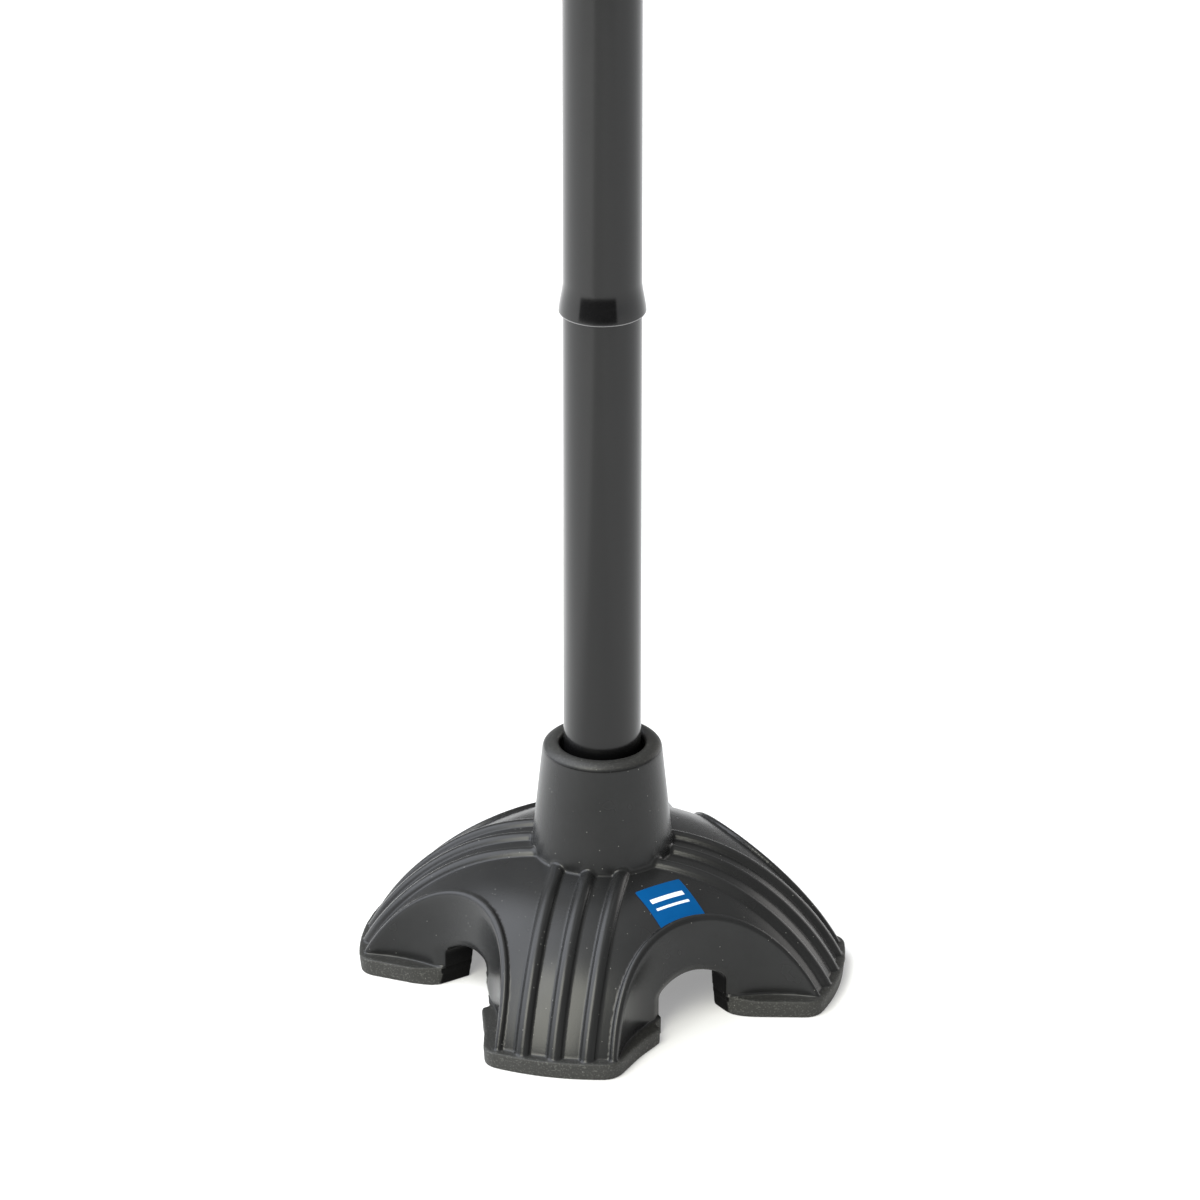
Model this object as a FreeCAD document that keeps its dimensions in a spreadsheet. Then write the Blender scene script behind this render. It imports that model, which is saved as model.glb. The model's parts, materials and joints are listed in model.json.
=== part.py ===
import FreeCAD, Part
import math
import os
from types import SimpleNamespace

import Sketcher
from FreeCAD import Placement, Rotation, Vector

# Folding walking cane on a four-footed rubber tip. Origin on the tube axis at the floor,
# +Z up, the four feet along +X, -X, +Y and -Y, the handle along X.

SIZES = {
    # tube sections
    "tube_radius": 11.1,
    "tube_wall": 1.2,
    "first_joint": 205.4,
    "section_pitch": 200.0,
    "upper_length": 190.0,
    # flared end of each upper section
    "bell_rim_radius": 12.35,
    "bell_rim_taper": 0.15,
    "bell_bore_radius": 11.2,
    "bell_bore_taper": 0.1,
    "bell_lip": 2.5,
    "bell_length": 9.5,
    "bell_swell": 0.55,
    "bell_swell_end": 3.4,
    "bell_throat_end": 2.5,
    "bell_entry": 3.0,
    "bell_curve": 12.0,
    # inner tube that joins two sections
    "ferrule_reach": 42.0,
    "ferrule_wall": 1.25,
    "ferrule_gap": 0.05,
    "ferrule_lead": 1.0,
    "seat_ring_height": 1.0,
    "seat_ring_inset": 0.1,
    "seat_ring_gap": 0.02,
    # elastic cord and what holds it
    "cord_radius": 2.0,
    "cord_play": 0.1,
    "cord_end": 1.0,
    "cord_plug_height": 14.0,
    "cord_recess_height": 8.0,
    "cord_recess_radius": 4.4,
    "crimp_radius": 3.8,
    "crimp_height": 6.0,
    "crimp_edge": 0.8,
    "crimp_gap": 0.05,
    "top_plug_height": 7.0,
    "top_plug_level": 652.0,
    # rubber tip: sole, dome, socket
    "sole_radius": 70.5,
    "sole_height": 5.2,
    "sole_corner": 4.0,
    "dome_radius": 68.1,
    "shoulder_radius": 50.0,
    "shoulder_level": 27.1,
    "shoulder_curve": 60.0,
    "crown_radius": 19.7,
    "crown_level": 43.5,
    "crown_curve": 85.0,
    "root_radius": 20.0,
    "socket_radius": 17.1,
    "socket_level": 70.9,
    "crest_radius": 14.7,
    "crest_curve": 3.8,
    "mouth_radius": 12.16,
    "mouth_edge": 0.7,
    "mouth_level": 72.4,
    "throat_level": 59.4,
    "socket_floor": 29.5,
    "socket_gap": 0.05,
    "washer_thickness": 1.5,
    "washer_bore": 5.0,
    # arches between the feet
    "arch_centre": 88.0,
    "arch_radius": 44.5,
    "arch_flange": 2.5,
    "arch_lip_width": 2.2,
    "relief": 1.2,
    "rib_width": 4.4,
    "rib_spacing": 9.4,
    "rib_start": 17.0,
    "notch_half_width": 11.2,
    "notch_side": 12.0,
    "notch_crown": 15.7,
    "notch_shift": 1.8,
    "notch_start": 30.0,
    "notch_length": 30.0,
    # hollow under the dome
    "skin": 4.5,
    "hollow_shoulder": 47.2,
    "foot_wall": 9.2,
    "boss_radius": 18.5,
    "boss_level": 20.0,
    # label on the dome
    "label_width": 15.0,
    "label_near": 28.2,
    "label_length": 13.8,
    "label_thickness": 0.3,
    # height adjustment
    "adjust_radius": 9.525,
    "adjust_bottom": 713.0,
    "adjust_length": 165.0,
    "bushing_gap": 0.05,
    "bushing_height": 5.0,
    "bushing_lip": 2.0,
    "bushing_bore": 7.4,
    "button_level": 724.0,
    "hole_radius": 3.2,
    "hole_pitch": 25.4,
    "button_radius": 3.1,
    "button_length": 6.8,
    "button_cap": 1.2,
    "button_flange": 4.4,
    "flange_setback": 1.35,
    "flange_height": 1.0,
    "spring_width": 8.0,
    "spring_strip": 0.6,
    "spring_reach": 7.15,
    "spring_length": 42.0,
    "spring_gap": 0.05,
    "spring_front_leg": 4.0,
    "spring_back_leg": 6.0,
    # lock collar
    "sleeve_radius": 13.05,
    "sleeve_height": 17.0,
    "cone_height": 6.0,
    "cone_base_radius": 12.2,
    "cone_top_radius": 10.8,
    "cone_bore": 9.6,
    "cone_foot": 1.0,
    "cone_room": 0.3,
    "collar_radius": 15.2,
    "collar_gap": 0.05,
    "collar_level": 783.0,
    "collar_height": 22.0,
    "collar_bore": 9.8,
    "collar_edge": 1.2,
    "collar_roof_gap": 0.2,
    # handle: an arched bar along X on a short neck
    "bar_level": 877.0,
    "bar_crest": 10.0,
    "bar_arch": 166.0,
    "bar_radius": 12.8,
    "nose_reach": 50.0,
    "nose_radius": 11.6,
    "nose_round": 12.0,
    "nose_taper": 36.0,
    "tail_reach": 66.5,
    "tail_radius": 13.2,
    "tail_round": 10.5,
    "tail_taper": 26.5,
    "trim_edge": 0.6,
    "trim_radius": 12.6,
    "trim_height": 4.0,
    "trim_level": 858.0,
    "plug_radius": 8.3,
    "plug_level": 848.0,
    "screw_radius": 2.0,
    "screw_head_radius": 4.2,
    "screw_head_height": 2.6,
    "screw_head_edge": 0.6,
    "screw_reach": 6.0,
    "screw_tip": 1.5,
    "neck_radius": 12.0,
    "neck_edge": 0.8,
    "neck_top_radius": 11.0,
    "neck_height": 12.0,
    # how far a cutter passes the face that it cuts
    "overcut": 1.0,
}


class Length:
    """A length that knows its number and the sheet formula it follows."""

    def __init__(self, number, formula):
        self.number = float(number)
        self.formula = formula

    def join(self, sign, other, number):
        return Length(number, f"({self.formula} {sign} {other.formula})")

    def __add__(self, other):
        other = length(other)
        return self.join("+", other, self.number + other.number)

    def __sub__(self, other):
        other = length(other)
        return self.join("-", other, self.number - other.number)

    def __mul__(self, other):
        other = length(other)
        return self.join("*", other, self.number * other.number)

    def __truediv__(self, other):
        other = length(other)
        return self.join("/", other, self.number / other.number)

    def __neg__(self):
        return Length(-self.number, f"(0 - {self.formula})")


def length(value):
    """The value as a Length."""
    if isinstance(value, Length):
        return value
    return Length(value, f"({value})")


doc = FreeCAD.newDocument("QuadCane")
sheet = doc.addObject("Spreadsheet::Sheet", "sizes")
for row, (alias, number) in enumerate(SIZES.items(), start=1):
    sheet.set(f"A{row}", alias)
    sheet.set(f"B{row}", str(number))
    sheet.setAlias(f"B{row}", alias)
doc.recompute()
mm = SimpleNamespace(**{name: Length(value, f"sizes.{name}") for name, value in SIZES.items()})

nodes = []


def keep(part, label):
    """Names a finished sub-part and keeps it for export."""
    part.Label = label
    nodes.append(part)
    return part


# ---------------------------------------------------------------- drawing helpers


def pin_point(sketch, side, end, across, up):
    """Ties one end of a side to its distances from the sketch's origin."""
    for kind, line, distance in (("DistanceX", -2, across), ("DistanceY", -1, up)):
        if abs(distance.number) < 1e-9:
            sketch.addConstraint(Sketcher.Constraint("PointOnObject", side, end, line))
        elif distance.number > 0:
            index = sketch.addConstraint(
                Sketcher.Constraint(kind, -1, 1, side, end, distance.number)
            )
            sketch.setExpression(f"Constraints[{index}]", distance.formula)
        else:
            index = sketch.addConstraint(
                Sketcher.Constraint(kind, side, end, -1, 1, -distance.number)
            )
            sketch.setExpression(f"Constraints[{index}]", (-distance).formula)


def arc_between(start, end, radius):
    """The arc from start to end that bulges left for a positive radius, right for a negative one."""
    chord = end - start
    side = Vector(chord.y, -chord.x, 0).normalize()
    if radius < 0:
        side = side * -1
    reach = math.sqrt(radius**2 - (chord.Length / 2) ** 2)
    centre = start + chord * 0.5 + side * reach
    first, last = (end, start) if radius > 0 else (start, end)
    angles = [math.atan2(p.y - centre.y, p.x - centre.x) for p in (first, last)]
    circle = Part.Circle(centre, Vector(0, 0, 1), abs(radius))
    return Part.ArcOfCircle(circle, angles[0], angles[1])


def draw_outline(sketch, corners):
    """Draws a closed outline through corners (across, up) or (across, up, radius).

    A radius makes the side that arrives at the corner an arc.
    """
    corners = [tuple(length(value) for value in corner) for corner in corners]
    joins = []
    for i, corner in enumerate(corners):
        before = corners[i - 1]
        start = Vector(before[0].number, before[1].number, 0)
        end = Vector(corner[0].number, corner[1].number, 0)
        if len(corner) == 2:
            side = sketch.addGeometry(Part.LineSegment(start, end), False)
            joins.append((side, 1, 2))
            continue
        radius = corner[2]
        side = sketch.addGeometry(arc_between(start, end, radius.number), False)
        size = radius if radius.number > 0 else -radius
        index = sketch.addConstraint(Sketcher.Constraint("Radius", side, size.number))
        sketch.setExpression(f"Constraints[{index}]", size.formula)
        joins.append((side, 2, 1) if radius.number > 0 else (side, 1, 2))
    for i, (side, first, last) in enumerate(joins):
        following, its_first, _ = joins[(i + 1) % len(joins)]
        sketch.addConstraint(Sketcher.Constraint("Coincident", side, last, following, its_first))
        pin_point(sketch, side, last, corners[i][0], corners[i][1])


def draw_circle(sketch, level, radius):
    """Draws a circle whose centre is on the sketch's upright axis."""
    circle = Part.Circle(Vector(0, level.number, 0), Vector(0, 0, 1), radius.number)
    side = sketch.addGeometry(circle, False)
    pin_point(sketch, side, 3, length(0), level)
    index = sketch.addConstraint(Sketcher.Constraint("Radius", side, radius.number))
    sketch.setExpression(f"Constraints[{index}]", radius.formula)


def cap_radius(half_width, rise):
    """Radius of the arc that spans twice the half width and rises by that much."""
    return (half_width * half_width + rise * rise) / (rise * 2)


def new_body(name):
    return doc.addObject("PartDesign::Body", name)


def new_sketch(body, role, suffix="outline"):
    """A sketch on one of the body's own origin planes."""
    sketch = body.newObject("Sketcher::SketchObject", f"{body.Name}_{suffix}")
    plane = next(item for item in body.Origin.OriginFeatures if item.Role == role)
    sketch.AttachmentSupport = (plane, [""])
    sketch.MapMode = "FlatFace"
    return sketch


def put_at(part, across=None, up=None):
    """Places a part along X and Z, tied to the sheet."""
    if across is not None:
        part.setExpression("Placement.Base.x", length(across).formula)
    if up is not None:
        part.setExpression("Placement.Base.z", length(up).formula)


def turned(name, corners, up=0):
    """A body turned about Z from an outline of (radius, height) corners."""
    body = new_body(name)
    sketch = new_sketch(body, "XZ_Plane")
    draw_outline(sketch, corners)
    turn = body.newObject("PartDesign::Revolution", f"{name}_turn")
    turn.Profile = sketch
    turn.ReferenceAxis = (sketch, ["V_Axis"])
    turn.Angle = 360
    put_at(body, up=up)
    return body


def padded(name, corners, plane, thickness, midplane=False):
    """A body padded from an outline on one origin plane."""
    body = new_body(name)
    sketch = new_sketch(body, plane)
    draw_outline(sketch, corners)
    pad = body.newObject("PartDesign::Pad", f"{name}_pad")
    pad.Profile = sketch
    pad.setExpression("Length", length(thickness).formula)
    pad.Midplane = midplane
    return body


def ring_corners(inner, outer, height):
    """The outline of a plain ring, or of a rod when the inner radius is 0."""
    return [(inner, 0), (outer, 0), (outer, height), (inner, height)]


def cylinder(name, radius, height, across=0, up=0, turn=0):
    """A Z cylinder whose foot lies at a distance from the axis, in a given direction."""
    part = doc.addObject("Part::Cylinder", name)
    part.setExpression("Radius", length(radius).formula)
    part.setExpression("Height", length(height).formula)
    angle = math.radians(turn)
    part.setExpression("Placement.Base.x", (length(across) * math.cos(angle)).formula)
    part.setExpression("Placement.Base.y", (length(across) * math.sin(angle)).formula)
    part.setExpression("Placement.Base.z", length(up).formula)
    return part


def fused(name, parts):
    union = doc.addObject("Part::MultiFuse", name)
    union.Shapes = parts
    return union


def cut(name, base, tool):
    result = doc.addObject("Part::Cut", name)
    result.Base = base
    result.Tool = tool
    return result


def common(name, first, second):
    result = doc.addObject("Part::Common", name)
    result.Base = first
    result.Tool = second
    return result


# ---------------------------------------------------------------- rubber tip


def dome_corners(rise=0.0, grow=0.0):
    """Outline of the dome from its foot to the socket's root, raised and grown by small amounts."""
    return [
        (0, mm.sole_height),
        (mm.dome_radius + grow, mm.sole_height),
        (mm.shoulder_radius + length(grow) * 0.6, mm.shoulder_level + rise, -mm.shoulder_curve),
        (mm.crown_radius, mm.crown_level + rise, -mm.crown_curve),
    ]


def four_ways(name, make, first_turn):
    """Four copies of a shape, one for each foot or arch."""
    return fused(name, [make(f"{name}_{i}", first_turn + 90 * i) for i in range(4)])


def rib_strips(name, turn):
    """Three parallel strips along one foot."""
    strips = []
    for i in (-1, 0, 1):
        strip = doc.addObject("Part::Box", f"{name}_{i + 1}")
        strip.setExpression("Length", (mm.dome_radius + mm.overcut - mm.rib_start).formula)
        strip.setExpression("Width", mm.rib_width.formula)
        strip.setExpression("Height", mm.mouth_level.formula)
        strip.Placement = Placement(Vector(0, 0, 0), Rotation(Vector(0, 0, 1), turn))
        across = mm.rib_spacing * i - mm.rib_width / 2
        angle = math.radians(turn)
        start = mm.rib_start
        strip.setExpression(
            "Placement.Base.x", (start * math.cos(angle) - across * math.sin(angle)).formula
        )
        strip.setExpression(
            "Placement.Base.y", (start * math.sin(angle) + across * math.cos(angle)).formula
        )
        strips.append(strip)
    return fused(name, strips)


def arch_cutter(name, turn):
    """What one arch takes away: narrower through the sole, so that the sole keeps a flange."""
    sole = cylinder(
        f"{name}_sole",
        mm.arch_radius - mm.arch_flange,
        mm.sole_height + mm.overcut,
        mm.arch_centre,
        -mm.overcut,
        turn,
    )
    wall = cylinder(f"{name}_wall", mm.arch_radius, mm.socket_level, mm.arch_centre, mm.sole_height, turn)
    return fused(name, [sole, wall])


def arch_lip(name, turn):
    return cylinder(
        name, mm.arch_radius + mm.arch_lip_width, mm.socket_level, mm.arch_centre, mm.sole_height, turn
    )


def hollow_limit(name, turn):
    """The wall's inner side: the hollow under the dome stays outside this cylinder."""
    return cylinder(
        name, mm.arch_radius + mm.foot_wall, mm.mouth_level, mm.arch_centre, -mm.overcut, turn
    )


def notch(name, turn):
    """A round-topped slot through one arch wall, a little nearer to the foot on the X axis."""
    half = mm.notch_half_width
    crown = cap_radius(half, mm.notch_crown - mm.notch_side)
    body = padded(
        name,
        [
            (-half, -mm.overcut),
            (half, -mm.overcut),
            (half, mm.notch_side),
            (-half, mm.notch_side, -crown),
        ],
        "XZ_Plane",
        mm.notch_length,
    )
    # the pad runs along -Y, so a turn of 90 points it along +X before the foot's own turn
    body.Placement.Rotation = Rotation(Vector(0, 0, 1), 90 + turn)
    angle = math.radians(turn)
    across, along = math.cos(angle), math.sin(angle)
    shift = -mm.notch_shift * math.sin(2 * angle)
    body.setExpression("Placement.Base.x", (mm.notch_start * across - shift * along).formula)
    body.setExpression("Placement.Base.y", (mm.notch_start * along + shift * across).formula)
    return body


def quad_base():
    sole = cylinder("sole_disc", mm.sole_radius, mm.sole_height)
    dome = turned("dome_form", dome_corners() + [(0, mm.crown_level)])
    raised = turned("relief_form", dome_corners(mm.relief, mm.relief) + [(0, mm.crown_level + mm.relief)])
    pattern = fused(
        "relief_pattern",
        [four_ways("ribs", rib_strips, 0), four_ways("arch_lips", arch_lip, 45)],
    )
    relief = common("relief_solid", raised, pattern)
    socket = turned(
        "socket_form",
        [
            (0, mm.boss_level),
            (mm.root_radius, mm.boss_level),
            (mm.root_radius, mm.crown_level),
            (mm.socket_radius, mm.socket_level),
            (mm.crest_radius, mm.mouth_level, -mm.crest_curve),
            (mm.mouth_radius + mm.mouth_edge, mm.mouth_level),
            (mm.mouth_radius, mm.mouth_level - mm.mouth_edge),
            (mm.tube_radius + mm.socket_gap, mm.throat_level),
            (mm.tube_radius + mm.socket_gap, mm.socket_floor),
            (0, mm.socket_floor),
        ],
    )
    block = fused("tip_block", [sole, dome, relief])
    arched = cut("tip_arched", block, four_ways("arches", arch_cutter, 45))
    hollow_form = turned(
        "hollow_form",
        [
            (0, -mm.overcut),
            (mm.sole_radius - mm.foot_wall, -mm.overcut),
            (mm.sole_radius - mm.foot_wall, mm.sole_height),
            (mm.hollow_shoulder, mm.shoulder_level - mm.skin, -mm.shoulder_curve),
            (mm.boss_radius, mm.crown_level - mm.skin, -mm.crown_curve),
            (mm.boss_radius, mm.boss_level),
            (0, mm.boss_level),
        ],
    )
    hollow = cut("tip_hollow", hollow_form, four_ways("hollow_limits", hollow_limit, 45))
    bore = cylinder(
        "tip_bore", mm.tube_radius + mm.socket_gap, mm.socket_level, 0, mm.socket_floor
    )
    emptied = cut("tip_emptied", arched, fused("tip_spaces", [hollow, bore]))
    notched = cut("tip_notched", emptied, four_ways("notches", notch, 45))
    whole = fused("tip_whole", [notched, socket])
    doc.recompute()
    return keep(rounded_sole(whole), "quad_base")


def rounded_sole(whole):
    """Rounds the eight upright corners at the feet's outer ends."""
    corners = []
    for index, edge in enumerate(whole.Shape.Edges, start=1):
        ends = [vertex.Point for vertex in edge.Vertexes]
        if len(ends) != 2 or abs((ends[0] - ends[1]).z) < mm.sole_height.number - 0.1:
            continue
        upright = (ends[0] - ends[1]).cross(Vector(0, 0, 1)).Length < 1e-4
        outer = all(math.hypot(p.x, p.y) > mm.sole_radius.number - 0.01 for p in ends)
        low = max(p.z for p in ends) < mm.sole_height.number + 0.1
        if upright and outer and low:
            corners.append((index, mm.sole_corner.number, mm.sole_corner.number))
    if len(corners) != 8:
        raise RuntimeError(f"expected 8 sole corners, found {len(corners)}")
    fillet = doc.addObject("Part::Fillet", "sole_corners")
    fillet.Base = whole
    fillet.Edges = corners
    return fillet


def base_label():
    """A thin square sticker on the dome, on the diagonal between the -Y and +X feet."""
    half = mm.label_width / 2
    far = mm.label_near + mm.label_length
    patch = padded(
        "label_patch",
        [(mm.label_near, -half), (far, -half), (far, half), (mm.label_near, half)],
        "XY_Plane",
        mm.mouth_level,
    )
    patch.Placement.Rotation = Rotation(Vector(0, 0, 1), -45)
    skin = turned(
        "label_skin",
        dome_corners(mm.label_thickness) + [(0, mm.crown_level + mm.label_thickness)],
    )
    dome = turned("label_seat", dome_corners() + [(0, mm.crown_level)])
    return keep(cut("label", common("label_block", patch, skin), dome), "base_label")


def tip_washer():
    corners = ring_corners(mm.washer_bore, mm.tube_radius, mm.washer_thickness)
    return keep(turned("tip_washer", corners, mm.socket_floor), "tip_washer")


# ---------------------------------------------------------------- tube sections

TUBE_FOOT = mm.socket_floor + mm.washer_thickness
BORE = mm.tube_radius - mm.tube_wall
JOINTS = [mm.first_joint + mm.section_pitch * i for i in range(3)]


def lower_tube():
    height = mm.first_joint + mm.bell_entry - TUBE_FOOT
    return keep(turned("lower_tube", ring_corners(BORE, mm.tube_radius, height), TUBE_FOOT), "lower_tube")


def belled_tube(name, height, up):
    """A tube whose lower end is flared over the section below."""
    corners = [
        (mm.bell_bore_radius, 0),
        (mm.bell_rim_radius, 0),
        (mm.bell_rim_radius - mm.bell_rim_taper, mm.bell_lip),
        (mm.tube_radius + mm.bell_swell, mm.bell_length - mm.bell_swell_end, -mm.bell_curve),
        (mm.tube_radius, mm.bell_length, mm.bell_curve),
        (mm.tube_radius, height),
        (BORE, height),
        (BORE, mm.bell_length - mm.bell_throat_end),
        (mm.bell_bore_radius - mm.bell_bore_taper, mm.bell_entry + mm.seat_ring_height),
        (mm.bell_bore_radius, mm.bell_entry),
    ]
    return turned(name, corners, up)


def upper_tube(height, up):
    """The top section, with a row of holes for the snap button on its -X side."""
    body = belled_tube("upper_tube", height, up)
    doc.recompute()
    plain = body.Shape.Volume
    sketch = new_sketch(body, "YZ_Plane", "hole")
    draw_circle(sketch, mm.button_level - mm.hole_pitch * 2 - up, mm.hole_radius)
    pocket = body.newObject("PartDesign::Pocket", "hole_pocket")
    pocket.Profile = sketch
    pocket.Type = "ThroughAll"
    doc.recompute()
    row = body.newObject("PartDesign::LinearPattern", "hole_row")
    row.Originals = [pocket]
    row.Direction = (sketch, ["V_Axis"])
    row.setExpression("Length", (mm.hole_pitch * 4).formula)
    row.Occurrences = 5
    body.Tip = row
    doc.recompute()
    check_holes(body, plain, 5, mm.tube_radius)
    return body


def check_holes(body, plain, count, outside):
    """The holes must take away about a disc of wall each, and open on the -X side only."""
    disc = math.pi * mm.hole_radius.number**2 * mm.tube_wall.number
    taken = (plain - body.Shape.Volume) / disc
    if abs(taken - count) > 0.12 * count:
        raise RuntimeError(f"{body.Name}: {taken:.2f} holes' worth taken, wanted {count}")
    middle = (outside - mm.tube_wall / 2).number
    for side, solid_there in ((-middle, False), (middle, True)):
        point = Vector(side, 0, mm.button_level.number)
        if body.Shape.isInside(point, 0.01, True) != solid_there:
            raise RuntimeError(f"{body.Name}: the hole is on the wrong side")


def ferrule(name, joint):
    """Pressed into the section below and sliding in the section above."""
    inner = BORE - mm.ferrule_gap - mm.ferrule_wall
    slide = BORE - mm.ferrule_gap
    reach = mm.ferrule_reach
    corners = [
        (inner, 0),
        (BORE, 0),
        (BORE, reach),
        (slide, reach),
        (slide, reach * 2 - mm.ferrule_lead),
        (slide - mm.ferrule_lead, reach * 2),
        (inner, reach * 2),
    ]
    return keep(turned(name, corners, joint + mm.bell_entry - reach), name)


def seat_ring(name, joint):
    """Nylon ring on the lower section's end, inside the flare."""
    outer = mm.tube_radius - mm.seat_ring_inset
    corners = ring_corners(BORE, outer, mm.seat_ring_height - mm.seat_ring_gap)
    return keep(turned(name, corners, joint + mm.bell_entry), name)


def sections():
    names = ["lower", "third", "second"]
    for name, joint in zip(names, JOINTS):
        ferrule(f"{name}_ferrule", joint)
        seat_ring(f"{name}_seat_ring", joint)
    for name, joint in zip(names[1:], JOINTS):
        height = mm.section_pitch + mm.bell_entry
        keep(belled_tube(f"{name}_tube", height, joint), f"{name}_tube")
    keep(upper_tube(mm.upper_length, JOINTS[2]), "upper_tube")


# ---------------------------------------------------------------- elastic cord


def cord_parts():
    radius = mm.cord_radius
    hole = radius + mm.cord_play
    recess = mm.cord_recess_height
    bottom_plug = turned(
        "cord_bottom_plug",
        [
            (mm.cord_recess_radius, 0),
            (BORE, 0),
            (BORE, mm.cord_plug_height),
            (hole, mm.cord_plug_height),
            (hole, recess),
            (mm.cord_recess_radius, recess),
        ],
        TUBE_FOOT,
    )
    keep(bottom_plug, "cord_bottom_plug")
    crimp_level = TUBE_FOOT + recess - mm.crimp_height
    lower_crimp = turned("cord_lower_crimp", crimp_corners(radius), crimp_level)
    keep(lower_crimp, "cord_lower_crimp")
    top_plug = turned("cord_top_plug", ring_corners(hole, BORE, mm.top_plug_height), mm.top_plug_level)
    keep(top_plug, "cord_top_plug")
    top_level = mm.top_plug_level + mm.top_plug_height
    upper_crimp = turned("cord_upper_crimp", crimp_corners(radius + mm.crimp_gap), top_level)
    keep(upper_crimp, "cord_upper_crimp")
    cord_foot = crimp_level - mm.cord_end
    cord_height = top_level + mm.crimp_height + mm.cord_end - cord_foot
    cord = turned("elastic_cord", ring_corners(0, radius, cord_height), cord_foot)
    keep(cord, "elastic_cord")


def crimp_corners(inner):
    edge = mm.crimp_edge
    return [
        (inner, 0),
        (mm.crimp_radius - edge, 0),
        (mm.crimp_radius, edge),
        (mm.crimp_radius, mm.crimp_height - edge),
        (mm.crimp_radius - edge, mm.crimp_height),
        (inner, mm.crimp_height),
    ]


# ---------------------------------------------------------------- height adjustment


def adjust_tube():
    """The thinner tube that carries the handle, with one hole for the button."""
    corners = ring_corners(mm.adjust_radius - mm.tube_wall, mm.adjust_radius, mm.adjust_length)
    body = turned("adjust_tube", corners, mm.adjust_bottom)
    doc.recompute()
    plain = body.Shape.Volume
    sketch = new_sketch(body, "YZ_Plane", "hole")
    draw_circle(sketch, mm.button_level - mm.adjust_bottom, mm.hole_radius)
    pocket = body.newObject("PartDesign::Pocket", "adjust_hole")
    pocket.Profile = sketch
    pocket.Type = "ThroughAll"
    doc.recompute()
    check_holes(body, plain, 1, mm.adjust_radius)
    keep(body, "adjust_tube")


def guide_bushing():
    """Nylon bush on the adjust tube's lower end."""
    outer = BORE - mm.bushing_gap
    corners = [
        (mm.bushing_bore, 0),
        (outer, 0),
        (outer, mm.bushing_lip + mm.bushing_height),
        (mm.adjust_radius, mm.bushing_lip + mm.bushing_height),
        (mm.adjust_radius, mm.bushing_lip),
        (mm.bushing_bore, mm.bushing_lip),
    ]
    keep(turned("guide_bushing", corners, mm.adjust_bottom - mm.bushing_lip), "guide_bushing")


FLANGE_FACE = mm.adjust_radius - mm.tube_wall - mm.flange_setback


def snap_button():
    """Domed pin through both tubes' walls, with a flange behind the inner wall."""
    tip = FLANGE_FACE + mm.button_length
    corners = [
        (0, FLANGE_FACE - mm.flange_height),
        (mm.button_flange, FLANGE_FACE - mm.flange_height),
        (mm.button_flange, FLANGE_FACE),
        (mm.button_radius, FLANGE_FACE),
        (mm.button_radius, tip - mm.button_cap),
        (0, tip, -cap_radius(mm.button_radius, mm.button_cap)),
    ]
    body = turned("snap_button", corners)
    body.Placement.Rotation = Rotation(Vector(0, 1, 0), -90)
    put_at(body, up=mm.button_level)
    keep(body, "snap_button")


def button_spring():
    """Leaf spring bent to a narrow U, open at the bottom, one leg behind the button."""
    strip = mm.spring_strip
    reach = FLANGE_FACE - mm.flange_height - mm.spring_gap
    other = mm.spring_reach
    top = mm.spring_length
    bend = (reach + other) / 2 + 0.3
    front, back = -mm.spring_front_leg, -mm.spring_back_leg
    corners = [
        (-reach, front),
        (-reach + strip, front),
        (-reach + strip, top),
        (other - strip, top, bend - strip),
        (other - strip, back),
        (other, back),
        (other, top),
        (-reach, top, -bend),
    ]
    body = padded("button_spring", corners, "XZ_Plane", mm.spring_width, midplane=True)
    put_at(body, up=mm.button_level)
    keep(body, "button_spring")


# ---------------------------------------------------------------- lock collar

TUBE_TOP = JOINTS[2] + mm.upper_length


def collar_parts():
    sleeve = turned(
        "threaded_sleeve",
        ring_corners(mm.tube_radius, mm.sleeve_radius, mm.sleeve_height),
        TUBE_TOP - mm.sleeve_height,
    )
    keep(sleeve, "threaded_sleeve")
    cone = turned(
        "grip_cone",
        [
            (mm.cone_bore, 0),
            (mm.cone_base_radius, 0),
            (mm.cone_base_radius, mm.cone_foot),
            (mm.cone_top_radius, mm.cone_height),
            (mm.cone_bore, mm.cone_height),
        ],
        TUBE_TOP,
    )
    keep(cone, "grip_cone")
    edge = mm.collar_edge
    inside = mm.sleeve_radius + mm.collar_gap
    cavity = TUBE_TOP - mm.collar_level + mm.cone_foot + mm.cone_room
    roof = TUBE_TOP + mm.cone_height - mm.collar_level + mm.collar_roof_gap
    collar = turned(
        "lock_collar",
        [
            (inside, 0),
            (mm.collar_radius - edge, 0),
            (mm.collar_radius, edge),
            (mm.collar_radius, mm.collar_height - edge * 2),
            (mm.collar_radius - edge * 2, mm.collar_height, -(edge * 2)),
            (mm.collar_bore, mm.collar_height),
            (mm.collar_bore, roof),
            (mm.cone_top_radius + mm.cone_room, roof),
            (mm.cone_base_radius + mm.cone_room, cavity),
            (inside, cavity),
        ],
        mm.collar_level,
    )
    keep(collar, "lock_collar")


# ---------------------------------------------------------------- handle

HANDLE_FOOT = mm.trim_level + mm.trim_height
ADJUST_TOP = mm.adjust_bottom + mm.adjust_length

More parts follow.
